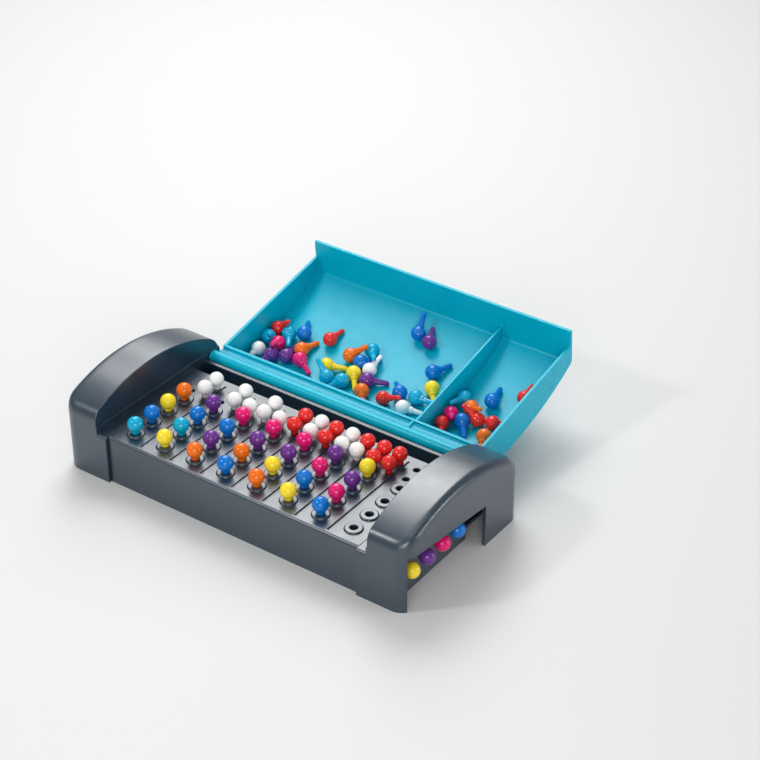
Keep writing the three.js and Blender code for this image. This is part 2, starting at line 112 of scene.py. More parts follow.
OPENING = ((-51.8, 36.0), (20.3, 27.5))
RACK_FACE_X, RACK_FOOT_X = 109.3, 99.0
RACK_BACK_X = RACK_FACE_X - WALL
RACK_FRONT_Y, RACK_END_Y = WALL + SEAT_GAP - HALF_DEPTH, 18.7
RACK_LOW_Z, RACK_TOP_Z = 0.5, 38.0
RACK_RIB_PLACES, RACK_RIB_WIDTH = (-20.2, -5.8), 1.6
RACK_RIB_LOW_Z, RACK_RIB_TOP_Z = 3.7, 25.7
SECRET_Z = 20.4

LID_HALF = 94.2
LID_RIM_Z = DECK_Z + SEAT_GAP
SKIRT_STAND_OFF, SKIRT_DROP, SKIRT_LEAN = 4.0, 10.7, 2.4
LID_FRONT_Y, LID_HEEL_Y = -HALF_DEPTH - SKIRT_STAND_OFF, 38.0
DIVIDER_WALL, DIVIDER_RISE, DIVIDER_MARGIN, FOOT_MARGIN = 1.6, 2.4, 0.5, 0.01
WEB_Z, WEB_WALL = 33.1, 2.0
VALLEY_Y, VALLEY_RIB_HEIGHT = 45.3, 1.5
STOP_HEIGHT, STOP_HEEL, STOP_WIDTH = 12.2, 3.0, 2.0
STOP_SHARES = (-0.743, -0.265, 0.265, 0.743)

# Pegs: radii, and lengths measured from the ball's centre
CODE_PEG = {"ball": 4.7, "neck": 2.5, "stem": 1.8, "seat_drop": 5.3, "reach": 13.6, "tip": 1.2}
KEY_PEG = {"ball": 4.494, "neck": 2.1, "stem": 1.6, "seat_drop": 5.9, "reach": 12.9, "tip": 1.1}
CODE_HOLE_RADIUS, KEY_HOLE_RADIUS = CODE_PEG["stem"] + SEAT_GAP, KEY_PEG["stem"] + SEAT_GAP

# Domed sections: the highest point in Y and Z, and radii
CROWN = {"peak": (-5.0, 56.2), "radius": 110.0, "front_fillet": 9.0, "back_fillet": 14.0}
LID_DOME = {"peak": (2.0, 54.3), "radius": 185.0, "front_fillet": 4.0, "back_fillet": 3.0}
FILLET_STEPS, DOME_STEPS = 8, 48

# Angles that draw a small quarter round
QUARTER = (0, 0.4, 0.8, 1.2, math.pi / 2)


def row_x(row):
    return (row - (ROW_COUNT - 1) / 2) * ROW_PITCH


def code_y(place):
    return FIRST_CODE_Y + place * CODE_PITCH


# The divider stands midway between the key pegs of the sixth and seventh rows
DIVIDER_X = (row_x(5) + KEY_RIGHT_X + row_x(6) + KEY_LEFT_X) / 2
DIVIDER = (DIVIDER_X - DIVIDER_WALL / 2, DIVIDER_X + DIVIDER_WALL / 2)

# Turns the closed lid open about its hinge
OPENER = (Matrix.Translation((0, HINGE_Y, HINGE_Z)) @ Matrix.Rotation(-OPEN_ANGLE, 4, "X")
          @ Matrix.Translation((0, -HINGE_Y, -HINGE_Z)))


# Outlines

def arc(centre, radius, start, end, steps):
    """Points of an arc from the angle start to the angle end."""
    points = []
    for i in range(steps + 1):
        angle = start + (end - start) * i / steps
        points.append((centre[0] + radius * math.cos(angle), centre[1] + radius * math.sin(angle)))
    return points


def rounded(corners, steps=5):
    """An outline whose corners (a, b, radius) are rounded where their radius isn't zero."""
    points = []
    count = len(corners)
    for i, (a, b, radius) in enumerate(corners):
        here = Vector((a, b))
        if radius <= 0:
            points.append((a, b))
            continue
        before = (Vector(corners[i - 1][:2]) - here).normalized()
        after = (Vector(corners[(i + 1) % count][:2]) - here).normalized()
        half = before.angle(after) / 2
        middle = here + (before + after).normalized() * (radius / math.sin(half))
        start = here + before * (radius / math.tan(half)) - middle
        end = here + after * (radius / math.tan(half)) - middle
        turn = math.atan2(start.x * end.y - start.y * end.x, start.dot(end))
        first = math.atan2(start.y, start.x)
        points += arc(middle, radius, first, first + turn, steps)
    return points


def dome_outline(dome, front_y, back_y, drop, front_fillet, back_fillet, foot_z):
    """A domed section of Y and Z between two feet, its top lowered by drop along its normals."""
    radius = dome["radius"] - drop
    centre = (dome["peak"][0], dome["peak"][1] - dome["radius"])

    def corner(y, fillet):
        z = centre[1] + math.sqrt((radius - fillet) ** 2 - (y - centre[0]) ** 2)
        return (y, z), math.atan2(z - centre[1], y - centre[0])

    front, front_angle = corner(front_y + front_fillet, front_fillet)
    back, back_angle = corner(back_y - back_fillet, back_fillet)
    outline = [(front_y, foot_z)]
    outline += arc(front, front_fillet, math.pi, front_angle, FILLET_STEPS)
    outline += arc(centre, radius, front_angle, back_angle, DOME_STEPS)[1:]
    outline += arc(back, back_fillet, back_angle, 0, FILLET_STEPS)[1:]
    outline.append((back_y, foot_z))
    return outline


# Solids as (points, faces), in millimetres

def loft(rings):
    """Joins closed rings of equal length, and closes both ends with a flat face."""
    count = len(rings[0])
    points = [point for ring in rings for point in ring]
    faces = []
    for layer in range(len(rings) - 1):
        low, high = layer * count, (layer + 1) * count
        for i in range(count):
            j = (i + 1) % count
            faces.append((low + i, low + j, high + j, high + i))
    faces.append(tuple(range(count))[::-1])
    faces.append(tuple(range(len(points) - count, len(points))))
    return points, faces


def prism_x(outline, from_x, to_x):
    return loft([[(x, y, z) for y, z in outline] for x in (from_x, to_x)])


def prism_y(outline, from_y, to_y):
    return loft([[(x, y, z) for x, z in outline] for y in (from_y, to_y)])


def prism_z(outline, from_z, to_z):
    return loft([[(x, y, z) for x, y in outline] for z in (from_z, to_z)])


def block(x, y, z):
    return prism_z([(x[0], y[0]), (x[1], y[0]), (x[1], y[1]), (x[0], y[1])], z[0], z[1])


def lathe(profile, sides=32):
    """Turns (radius, height) points round Z. The first and the last lie on the axis."""
    points = [(0, 0, profile[0][1])]
    faces = []
    rings = profile[1:-1]
    for radius, height in rings:
        for i in range(sides):
            angle = 2 * math.pi * i / sides
            points.append((radius * math.cos(angle), radius * math.sin(angle), height))
    points.append((0, 0, profile[-1][1]))
    last = len(points) - 1
    for i in range(sides):
        j = (i + 1) % sides
        faces.append((0, 1 + j, 1 + i))
        for ring in range(len(rings) - 1):
            low, high = 1 + ring * sides, 1 + (ring + 1) * sides
            faces.append((low + i, low + j, high + j, high + i))
        faces.append((last, last - sides + i, last - sides + j))
    return points, faces


def disc(radius, low_z, high_z, sides=32):
    return lathe([(0, low_z), (radius, low_z), (radius, high_z), (0, high_z)], sides)


def moved(solid, offset=(0, 0, 0), turn=None):
    matrix = Matrix.Translation(offset) @ (turn.to_4x4() if turn else Matrix.Identity(4))
    return [tuple(matrix @ Vector(point)) for point in solid[0]], solid[1]


def together(solids):
    """Several solids that stay apart, as one."""
    points, faces = [], []
    for solid_points, solid_faces in solids:
        start = len(points)
        points += solid_points
        faces += [tuple(start + corner for corner in face) for face in solid_faces]
    return points, faces


def at_each(solid, places, z):
    """One solid at several places of X and Y, as one."""
    return together([moved(solid, (*place, z)) for place in places])


TURN_TO_X = Matrix.Rotation(math.radians(90), 3, "Y")


def rod_x(place, radius, from_x, to_x, sides=32, edge=0.0):
    """A round rod along X at (y, z), its ends chamfered by edge."""
    length = to_x - from_x
    rod = disc(radius, 0, length, sides)
    if edge > 0:
        rod = lathe([(0, 0), (radius - edge, 0), (radius, edge),
                     (radius, length - edge), (radius - edge, length), (0, length)], sides)
    return moved(rod, (from_x, place[0], place[1]), TURN_TO_X)


# Blender objects

def mesh_of(name, solid):
    mesh = bpy.data.meshes.new(name)
    mesh.from_pydata([[MM * c for c in point] for point in solid[0]], [], solid[1])
    edit = bmesh.new()
    edit.from_mesh(mesh)
    bmesh.ops.recalc_face_normals(edit, faces=edit.faces)
    edit.to_mesh(mesh)
    edit.free()
    return mesh


def linked(name, mesh):
    thing = bpy.data.objects.new(name, mesh)
    scene.collection.objects.link(thing)
    return thing


def bake(thing):
    """Applies the object's modifiers to its mesh."""
    graph = bpy.context.evaluated_depsgraph_get()
    mesh = bpy.data.meshes.new_from_object(thing.evaluated_get(graph))
    mesh.name = thing.name
    thing.modifiers.clear()
    thing.data = mesh


def carved(name, solid, *steps):
    """Joins a solid with others or cuts them out of it, one after another."""
    thing = linked(name, mesh_of(name, solid))
    tools = []
    for action, other in steps:
        tool = linked(f"{name}_tool", mesh_of(f"{name}_tool", other))
        tools.append(tool)
        modifier = thing.modifiers.new(action, "BOOLEAN")
        modifier.operation = action
        modifier.solver = "MANIFOLD"
        modifier.object = tool
    bake(thing)
    for tool in tools:
        bpy.data.objects.remove(tool)
    return thing


BEVEL_FROM_ANGLE = math.radians(40)
SHARP_FROM_ANGLE = math.radians(30)


def dress(thing, body, material, replaced, edge=0.0):
    """Rounds the edges, shades the mesh, gives the piece its body and material, and hides the frame's nodes
    that it replaces.
    """
    if edge > 0:
        bevel = thing.modifiers.new("edges", "BEVEL")
        bevel.width = edge * MM
        bevel.segments = 2
        bevel.limit_method = "ANGLE"
        bevel.angle_limit = BEVEL_FROM_ANGLE
        bevel.use_clamp_overlap = False
        bake(thing)
    thing.data.shade_smooth()
    thing.data.set_sharp_from_angle(angle=SHARP_FROM_ANGLE)
    weighted = thing.modifiers.new("shading", "WEIGHTED_NORMAL")
    weighted.keep_sharp = True
    thing.data.materials.clear()
    thing.data.materials.append(material)
    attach(thing, body)
    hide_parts(*replaced)


# Materials

# The clouds' detail, and the smears that vary the gloss: fineness, detail, range and spread
CLOUD_DETAIL = 4
SMEAR_FINENESS, SMEAR_DETAIL = 2.7, 5
SMEAR_LOW, SMEAR_HIGH, GLOSS_SPREAD = 0.3, 0.7, 0.12

# The shader's rounding of edges, the cosines between which an edge gets the painted highlight, and how much
# that painted highlight lightens the colour
EDGE_SAMPLES = 6
FLAT_COSINE, EDGE_COSINE = 0.995, 0.85
EDGE_HIGHLIGHT_FACTOR = 2.2

# The plastic's slight waviness and its grain: fineness, detail, strength and depth in metres
WAVE_FINENESS, WAVE_DETAIL, WAVE_STRENGTH, WAVE_DEPTH = 1.6, 3, 0.1, 0.0001
GRAIN_SCALE, GRAIN_DETAIL, GRAIN_DEPTH = 2500, 2, 0.00005


def linear(colour):
    """A colour of 0 to 255 on the sRGB curve, as linear light with full alpha."""
    channels = []
    for value in colour:
        share = value / 255
        low = share <= 0.04045
        channels.append(share / 12.92 if low else ((share + 0.055) / 1.055) ** 2.4)
    return (*channels, 1)


def shade(colour, factor):
    return tuple(min(1, c * factor) for c in colour[:3]) + (1,)


def new_material(name):
    """An empty material, with its node tree and its surface."""
    material = bpy.data.materials.new(name)
    material.use_nodes = True
    return material, material.node_tree, material.node_tree.nodes["Principled BSDF"]


def noise(tree, scale, detail, place):
    """A noise's output, in the coordinates that the socket place gives."""
    node = tree.nodes.new("ShaderNodeTexNoise")
    node.inputs["Scale"].default_value = scale
    node.inputs["Detail"].default_value = detail
    tree.links.new(place, node.inputs["Vector"])
    return node.outputs["Fac"]


def mixed(tree, factor, low, high):
    """The output that mixes two colours by the socket factor. The low one may be a socket too."""
    mix = tree.nodes.new("ShaderNodeMix")
    mix.data_type = "RGBA"
    if isinstance(low, tuple):
        mix.inputs["A"].default_value = low
    else:
        tree.links.new(low, mix.inputs["A"])
    mix.inputs["B"].default_value = high
    tree.links.new(factor, mix.inputs["Factor"])
    return mix.outputs["Result"]


def edge_highlight_share(tree, soft_normal, edge_highlight):
    """The output that rises to the painted edge highlight's strength where the rounded normal leaves the
    face's own.
    """
    geometry = tree.nodes.new("ShaderNodeNewGeometry")
    dot = tree.nodes.new("ShaderNodeVectorMath")
    dot.operation = "DOT_PRODUCT"
    tree.links.new(geometry.outputs["Normal"], dot.inputs[0])
    tree.links.new(soft_normal, dot.inputs[1])
    highlight_range = tree.nodes.new("ShaderNodeMapRange")
    highlight_range.inputs["From Min"].default_value = FLAT_COSINE
    highlight_range.inputs["From Max"].default_value = EDGE_COSINE
    highlight_range.inputs["To Max"].default_value = edge_highlight
    tree.links.new(dot.outputs["Value"], highlight_range.inputs["Value"])
    return highlight_range.outputs["Result"]


def bumped(tree, normal, height, strength, depth):
    """The normal, bent by a height."""
    bump = tree.nodes.new("ShaderNodeBump")
    bump.inputs["Strength"].default_value = strength
    bump.inputs["Distance"].default_value = depth
    tree.links.new(height, bump.inputs["Height"])
    tree.links.new(normal, bump.inputs["Normal"])
    return bump.outputs["Normal"]


def plastic(name, colour, roughness, mottle, grain, mottle_scale=40, coat=0.0, coat_roughness=0.08,
            specular=0.5, edge_radius=0.4, edge_highlight=0.0, metallic=0.0):
    """Moulded plastic: uneven colour and gloss, a fine grain, soft edges, and a painted highlight that
    lightens the edges.
    """
    material, tree, surface = new_material(name)
    place = tree.nodes.new("ShaderNodeTexCoord").outputs["Object"]
    base = linear(colour)
    surface.inputs["Metallic"].default_value = metallic
    surface.inputs["Coat Weight"].default_value = coat
    surface.inputs["Coat Roughness"].default_value = coat_roughness
    surface.inputs["Specular IOR Level"].default_value = specular

    soft = tree.nodes.new("ShaderNodeBevel")
    soft.samples = EDGE_SAMPLES
    soft.inputs["Radius"].default_value = edge_radius * MM
    normal = soft.outputs["Normal"]

    clouds = noise(tree, mottle_scale, CLOUD_DETAIL, place)
    tint = mixed(tree, clouds, shade(base, 1 - mottle), shade(base, 1 + mottle))
    # Lightens the edges with a painted highlight
    if edge_highlight > 0:
        tint = mixed(tree, edge_highlight_share(tree, normal, edge_highlight), tint, shade(base, EDGE_HIGHLIGHT_FACTOR))
    tree.links.new(tint, surface.inputs["Base Color"])

    gloss = tree.nodes.new("ShaderNodeMapRange")
    gloss.inputs["From Min"].default_value = SMEAR_LOW
    gloss.inputs["From Max"].default_value = SMEAR_HIGH
    gloss.inputs["To Min"].default_value = roughness * (1 - GLOSS_SPREAD)
    gloss.inputs["To Max"].default_value = roughness * (1 + GLOSS_SPREAD)
    smears = noise(tree, mottle_scale * SMEAR_FINENESS, SMEAR_DETAIL, place)
    tree.links.new(smears, gloss.inputs["Value"])
    tree.links.new(gloss.outputs["Result"], surface.inputs["Roughness"])

    waves = noise(tree, mottle_scale * WAVE_FINENESS, WAVE_DETAIL, place)
    normal = bumped(tree, normal, waves, WAVE_STRENGTH, WAVE_DEPTH)
    grains = noise(tree, GRAIN_SCALE, GRAIN_DETAIL, place)
    normal = bumped(tree, normal, grains, grain, GRAIN_DEPTH)
    tree.links.new(normal, surface.inputs["Normal"])
    return material


# Both plastics get a painted highlight that lightens their edges
slate = plastic("satin_slate_plastic", (25, 48, 65), 0.35, mottle=0.07, grain=0.16, edge_highlight=0.3,
                specular=1.0, coat=0.35, coat_roughness=0.24)
teal = plastic("glossy_teal_plastic", (0, 178, 204), 0.28, mottle=0.05, grain=0.02, edge_highlight=0.3,
               specular=0.22)
steel = plastic("brushed_steel", (165, 168, 172), 0.3, mottle=0.1, grain=0.3, mottle_scale=400,
                edge_radius=0.15, metallic=1.0)
peg_colours = {
    "cyan": (0, 170, 210), "blue": (0, 116, 206), "yellow": (252, 222, 44), "orange": (242, 112, 14),
    "purple": (108, 50, 142), "pink": (232, 22, 114), "red": (232, 44, 38), "white": (246, 246, 244),
}
peg_plastics = {
    key: plastic(f"glossy_{key}_plastic", colour, 0.16, mottle=0.05, grain=0.03, mottle_scale=160,
                 coat=0.15, edge_radius=0.1, specular=0.4)
    for key, colour in peg_colours.items()
}


# Tray

# Sections as (radius, height) over the deck, and the groove's half as (x, z)
COLLAR_ARC = [(COLLAR_RADIUS - COLLAR_ROUND + COLLAR_ROUND * math.cos(angle),
               COLLAR_HEIGHT - COLLAR_ROUND + COLLAR_ROUND * math.sin(angle)) for angle in QUARTER]
COLLAR = [(0, -ROOT), (COLLAR_RADIUS, -ROOT), *COLLAR_ARC, (0, COLLAR_HEIGHT)]
CODE_MOUTH = [(CODE_HOLE_RADIUS, 0.35), (2.25, 0.75), (2.7, 1.02), (2.9, OVERRUN)]
KEY_MOUTH = [(KEY_HOLE_RADIUS, -0.5), (2.0, -0.2), (2.3, 0.01), (2.4, OVERRUN)]
HALF_GROOVE = [(0.45, -0.75), (0.65, -0.35), (0.65, 2.0)]


def deck_outline(front_y):
    """The deck's section in Y and Z, from its front foot over the trench and the ledge."""
    return rounded([
        (front_y, 0, 0), (front_y, DECK_Z, 2.0),
        (DECK_BACK_Y, DECK_Z, 0.5), (DECK_BACK_Y, TRENCH_FLOOR_Z, 0.8),
        (TRENCH_BACK_Y, TRENCH_FLOOR_Z, 0.8), (TRENCH_BACK_Y, DECK_Z, 0.6),
        (RIB_BACK_Y, DECK_Z, 0.6), (RIB_BACK_Y, LEDGE_Z, 0.5),
        (HALF_DEPTH, LEDGE_Z, 1.0), (HALF_DEPTH, 0, 0),
    ])


def deck_hollow(front_y):
    """The hollow under the deck, open below."""
    return [
        (front_y + WALL, -OVERRUN), (front_y + WALL, DECK_Z - WALL),
        (DECK_BACK_Y - WALL, DECK_Z - WALL), (DECK_BACK_Y - WALL, TRENCH_FLOOR_Z - WALL),
        (TRENCH_BACK_Y + WALL, TRENCH_FLOOR_Z - WALL), (TRENCH_BACK_Y + WALL, LEDGE_Z - WALL),
        (HALF_DEPTH - WALL, LEDGE_Z - WALL), (HALF_DEPTH - WALL, -OVERRUN),
    ]


def boss(place, foot_z, top_z):
    return moved(disc(BOSS_RADIUS, foot_z, top_z), (*place, 0))


def screw_hole(place, foot_z):
    return moved(disc(SCREW_HOLE_RADIUS, -OVERRUN, SCREW_HOLE_DEPTH, sides=24), (*place, foot_z))


def peg_hole(radius, mouth, sides):
    return lathe([(0, -HOLE_DEPTH), (radius, -HOLE_DEPTH), *mouth, (0, OVERRUN)], sides)


def row_groove(row):
    """The groove along Y between a row and the one before it."""
    other_half = [(-x, z) for x, z in reversed(HALF_GROOVE)]
    outline = [*other_half, (0, -GROOVE_DEPTH), *HALF_GROOVE]
    groove = prism_y(outline, TRAY_FRONT_Y + GROOVE_FRONT_MARGIN, KEY_BACK_Y + GROOVE_BACK_MARGIN)
    return moved(groove, (row_x(row) - ROW_PITCH / 2, 0, DECK_Z))


def base_tray():
    codes = [(row_x(row), code_y(place)) for row in range(ROW_COUNT) for place in range(CODE_COUNT)]
    keys = [(row_x(row) + dx, y) for row in range(ROW_COUNT)
            for dx in (KEY_LEFT_X, KEY_RIGHT_X) for y in (KEY_FRONT_Y, KEY_BACK_Y)]
    front_screw, back_screw = SCREW_PLACES["tray_front_screw"], SCREW_PLACES["tray_back_screw"]
    bosses = [boss(front_screw, BOSS_FOOT_Z, DECK_Z - ROOT), boss(back_screw, BOSS_FOOT_Z, LEDGE_Z - ROOT)]
    holes = [
        at_each(peg_hole(CODE_HOLE_RADIUS, CODE_MOUTH, sides=32), codes, DECK_Z),
        at_each(peg_hole(KEY_HOLE_RADIUS, KEY_MOUTH, sides=28), keys, DECK_Z),
        *[row_groove(row) for row in range(1, ROW_COUNT)],
        screw_hole(front_screw, BOSS_FOOT_Z), screw_hole(back_screw, BOSS_FOOT_Z),
    ]
    return carved(
        "tray", prism_x(deck_outline(TRAY_FRONT_Y), -TRAY_END_X, TRAY_END_X),
        ("DIFFERENCE", prism_x(deck_hollow(TRAY_FRONT_Y), -TRAY_END_X - OVERRUN, TRAY_END_X + OVERRUN)),
        ("UNION", at_each(lathe(COLLAR, sides=40), codes, DECK_Z)),
        ("UNION", together(bosses)),
        ("DIFFERENCE", together(holes)),
    )


# End housings

# How much of the cheek's fall its upper corners lose in radius, and angles that draw its corners
FRONT_EASE, BACK_EASE = 0.5, 0.8
FRONT_ANGLES, TOP_ANGLES = range(0, 30, 6), range(7, 91, 7)


def fall(reach, radius):
    """How far a rounded corner of that radius has fallen back at reach beyond its start."""
    if reach <= 0:
        return 0.0
    return radius - math.sqrt(max(0.0, radius ** 2 - min(reach, radius) ** 2))


def crown_stations(from_x, end_x, top, front, shoulder):
    """Places along X from the inner wall to the cheek, closer where the corners round off."""
    stations = [from_x, end_x]
    stations += [from_x + shoulder * (1 - math.cos(angle)) for angle in QUARTER]
    stations += [end_x - front + front * math.sin(math.radians(angle)) for angle in FRONT_ANGLES]
    stations += [end_x - top + top * math.sin(math.radians(angle)) for angle in TOP_ANGLES]
    return sorted(set(round(x, 4) for x in stations if from_x <= x <= end_x))


def crown_loft(from_x, inset, shoulder=0.0):
    """The crowned end, its cheek rounded by one radius on top and others down its front and back."""
    end_x = HALF_LENGTH - inset
    top, front, back = CHEEK_TOP_ROUND - inset, CHEEK_FRONT_ROUND - inset, CHEEK_BACK_ROUND - inset
    foot_z = -OVERRUN if inset else 0.0
    rings = []
    for x in crown_stations(from_x, end_x, top, front, shoulder):
        soft = fall(shoulder - (x - from_x), shoulder)
        lowered = fall(x - (end_x - top), top)
        front_y = -HALF_DEPTH + inset + fall(x - (end_x - front), front) + soft
        back_y = HALF_DEPTH - inset - fall(x - (end_x - back), back) - soft
        front_fillet = CROWN["front_fillet"] - inset - FRONT_EASE * lowered
        back_fillet = CROWN["back_fillet"] - inset - BACK_EASE * lowered
        section = dome_outline(CROWN, front_y, back_y, lowered + soft + inset,
                               front_fillet, back_fillet, foot_z)
        rings.append([(x, y, z) for y, z in section])
    return loft(rings)


def step_outline():
    """The crown's outline cut level at the step, without the points that then crowd together."""
    least_distance = 0.05
    band = dome_outline(CROWN, -HALF_DEPTH, HALF_DEPTH, 0, CROWN["front_fillet"], CROWN["back_fillet"], 0)
    kept = []
    for y, z in ((y, min(z, STEP_Z)) for y, z in band):
        if not kept or abs(y - kept[-1][0]) + abs(z - kept[-1][1]) > least_distance:
            kept.append((y, z))
    return kept


def housing_steps(screw_place, screw_foot_z):
    """What turns the crowned end into a hollow housing with its inner wall, shelf and socket."""
    inner_wall = (SHELF_X - OVERRUN, CAVITY_X + OVERRUN)
    inside_y = HALF_DEPTH - WALL
    hinge = (HINGE_Y, HINGE_Z)
    return [
        ("UNION", prism_x(step_outline(), INNER_X, CAVITY_X)),
        ("UNION", prism_x(deck_outline(-HALF_DEPTH), SHELF_X, INNER_X + SHELF_OVERLAP)),
        ("DIFFERENCE", crown_loft(CAVITY_X, WALL)),
        ("DIFFERENCE", prism_x(deck_hollow(-HALF_DEPTH), SHELF_X - OVERRUN, INNER_X)),
        ("DIFFERENCE", block(inner_wall, (-inside_y, inside_y), (-OVERRUN, BOSS_FOOT_Z))),
        ("DIFFERENCE", block(inner_wall, PASSAGE_Y, (-OVERRUN, PASSAGE_TOP_Z))),
        ("UNION", boss(screw_place, screw_foot_z, HOUSING_BOSS_TOP_Z)),
        ("DIFFERENCE", rod_x(hinge, SOCKET_RADIUS, INNER_X - OVERRUN, CAVITY_X + OVERRUN)),
        ("DIFFERENCE", screw_hole(screw_place, screw_foot_z)),
    ]


def mirror_mesh(mesh):
    edit = bmesh.new()
    edit.from_mesh(mesh)
    bmesh.ops.scale(edit, vec=(-1, 1, 1), verts=edit.verts)
    bmesh.ops.reverse_faces(edit, faces=edit.faces)
    edit.to_mesh(mesh)
    edit.free()


def left_housing():
    """The left housing, built at the right end and mirrored."""
    x, y = SCREW_PLACES["left_housing_screw"]
    crown = crown_loft(INNER_X + STEP_WIDTH, 0, SHOULDER_ROUND)
    thing = carved("left_housing", crown, *housing_steps((-x, y), BOSS_FOOT_Z))
    mirror_mesh(thing.data)
    return thing


def hood():
    corner = 0.8
    (front_y, front_z), (back_y, back_z) = OPENING
    opening = rounded([(front_y, -OVERRUN, 0), (front_y, front_z, corner),
                       (back_y, back_z, corner), (back_y, -OVERRUN, 0)])
    return carved(
        "hood", crown_loft(INNER_X + STEP_WIDTH, 0, SHOULDER_ROUND),
        *housing_steps(SCREW_PLACES["right_housing_screw"], HOOD_BOSS_FOOT_Z),
        ("DIFFERENCE", prism_x(opening, RACK_FACE_X, HALF_LENGTH + OVERRUN)),
    )


def code_rack():
    low_corner, top_corner = 0.4, 0.8
    face = rounded([(RACK_FRONT_Y, RACK_LOW_Z, low_corner), (RACK_END_Y, RACK_LOW_Z, low_corner),
                    (RACK_END_Y, RACK_TOP_Z, top_corner), (RACK_FRONT_Y, RACK_TOP_Z, top_corner)])
    rooted_x = RACK_BACK_X + ROOT
    rib = [(RACK_FOOT_X, RACK_RIB_LOW_Z), (rooted_x, RACK_RIB_LOW_Z), (rooted_x, RACK_RIB_TOP_Z)]
    ribs = [prism_y(rib, y - RACK_RIB_WIDTH / 2, y + RACK_RIB_WIDTH / 2) for y in RACK_RIB_PLACES]
    holes = [rod_x((code_y(i), SECRET_Z), CODE_HOLE_RADIUS, RACK_BACK_X - OVERRUN, RACK_FACE_X + OVERRUN)
             for i in range(CODE_COUNT)]
    foot = block((RACK_FOOT_X, rooted_x), (FIRST_CODE_Y, RACK_END_Y), (BOSS_FOOT_Z, RACK_FOOT_TOP_Z))
    return carved(
        "secret_rack", prism_x(face, RACK_BACK_X, RACK_FACE_X),
        ("UNION", foot),
        ("UNION", together(ribs)),
        ("DIFFERENCE", together(holes)),
        ("DIFFERENCE", screw_hole(SCREW_PLACES["right_housing_screw"], RACK_FOOT_TOP_Z)),
    )


# Lid, built closed

def lid_section(inset, foot_z):
    """The closed lid's dome at that distance inside its outer face, without its front foot."""
    return dome_outline(LID_DOME, LID_FRONT_Y + inset, LID_HEEL_Y - inset, inset,
                        LID_DOME["front_fillet"] - inset, LID_DOME["back_fillet"] - inset, foot_z)[1:]


def stop_outline():
    """A rib behind the heel whose face stands upright behind the tray when the lid is open."""
    closer = OPENER.inverted()
    bearing_y, high_z = HALF_DEPTH + SEAT_GAP, LEDGE_Z + WALL
    high = closer @ Vector((0, bearing_y, high_z))
    low = closer @ Vector((0, bearing_y, high_z - STOP_HEIGHT))
    root_y = LID_HEEL_Y - ROOT
    return [(root_y, WEB_Z), (high.y, WEB_Z), (high.y, high.z), (low.y, low.z), (root_y, low.z + STOP_HEEL)]


def lid():
    """A domed box of two rooms with a skirt, and the web, bar, pins and stops of its hinge."""
    skirt_z, skirt_y = LID_RIM_Z - SKIRT_DROP, LID_FRONT_Y - SKIRT_LEAN
    shell = lid_section(0, LID_RIM_Z)
    slope = SKIRT_LEAN / (shell[0][1] - skirt_z)
    behind_skirt = (skirt_y + WALL, skirt_z)
    behind_rim_y = skirt_y + WALL + slope * SKIRT_DROP
    outer = [(skirt_y, skirt_z), *shell, (behind_rim_y, LID_RIM_Z), behind_skirt]
    inner = [behind_skirt, *lid_section(WALL, LID_RIM_Z - OVERRUN)]
    rooms = [prism_x(inner, -LID_HALF + WALL, DIVIDER[0]), prism_x(inner, DIVIDER[1], LID_HALF - WALL)]
    divider_z = LID_RIM_Z + DIVIDER_RISE
    over_divider = prism_x(
        [(skirt_y + WALL - FOOT_MARGIN, skirt_z - ROOT), (behind_rim_y, divider_z),
         (LID_HEEL_Y - WALL, divider_z), (LID_HEEL_Y - WALL, LID_RIM_Z - OVERRUN)],
        DIVIDER[0] - DIVIDER_MARGIN, DIVIDER[1] + DIVIDER_MARGIN)
    hinge = (HINGE_Y, HINGE_Z)
    root_y = LID_HEEL_Y - ROOT
    web = block((-LID_HALF, LID_HALF), (root_y, HINGE_Y), (WEB_Z, WEB_Z + WEB_WALL))
    valley_rib = block(DIVIDER, (root_y, VALLEY_Y), (WEB_Z - VALLEY_RIB_HEIGHT, WEB_Z + WEB_WALL / 2))
    stops = [prism_x(stop_outline(), share * LID_HALF - STOP_WIDTH / 2, share * LID_HALF + STOP_WIDTH / 2)
             for share in STOP_SHARES]
    return carved(
        "peg_box_lid", prism_x(outer, -LID_HALF, LID_HALF),
        ("DIFFERENCE", together(rooms)),
        ("DIFFERENCE", over_divider),
        ("UNION", web),
        ("UNION", rod_x(hinge, BAR_RADIUS, -LID_HALF, LID_HALF, sides=48)),
        ("UNION", rod_x(hinge, PIN_RADIUS, -PIN_END_X, PIN_END_X, edge=PIN_EDGE)),
        ("UNION", valley_rib),
        ("UNION", together(stops)),
    )


def open_lid():
    """The lid turned open about its hinge."""
    thing = lid()
    to_metres = Matrix.Diagonal((MM, MM, MM, 1))
    to_millimetres = Matrix.Diagonal((1 / MM, 1 / MM, 1 / MM, 1))
    thing.data.transform(to_metres @ OPENER @ to_millimetres)
    return thing


# Bottom cover and screws

# Sections as (radius, height) over the floor, and the cross recess's arm as (width, height)
HEAD_SINK = [(0, -OVERRUN), (3.2, -OVERRUN), (3.2, -0.1), (2.8, 0.3), (2.8, 1.4), (0, 1.4)]
SCREW_HEAD = [(0, 0.2), (2.1, 0.2), (2.4, 0.35), (2.5, 0.6), (2.5, 1.1)]
SCREW_TIP = [(1.0, 9.7), (0, 10.9)]
CROSS_ARM = [(-0.28, -1.0), (0.28, -1.0), (0.16, 0.75), (-0.16, 0.75)]
CROSS_REACH = 1.35
THREAD_RADIUS, THREAD_ROOT = 1.2, 0.95
THREAD_START_Z, THREAD_END_Z, THREAD_PITCH = 1.6, 9.2, 0.9
THREAD_FLANK, THREAD_CREST = 0.35, 0.15


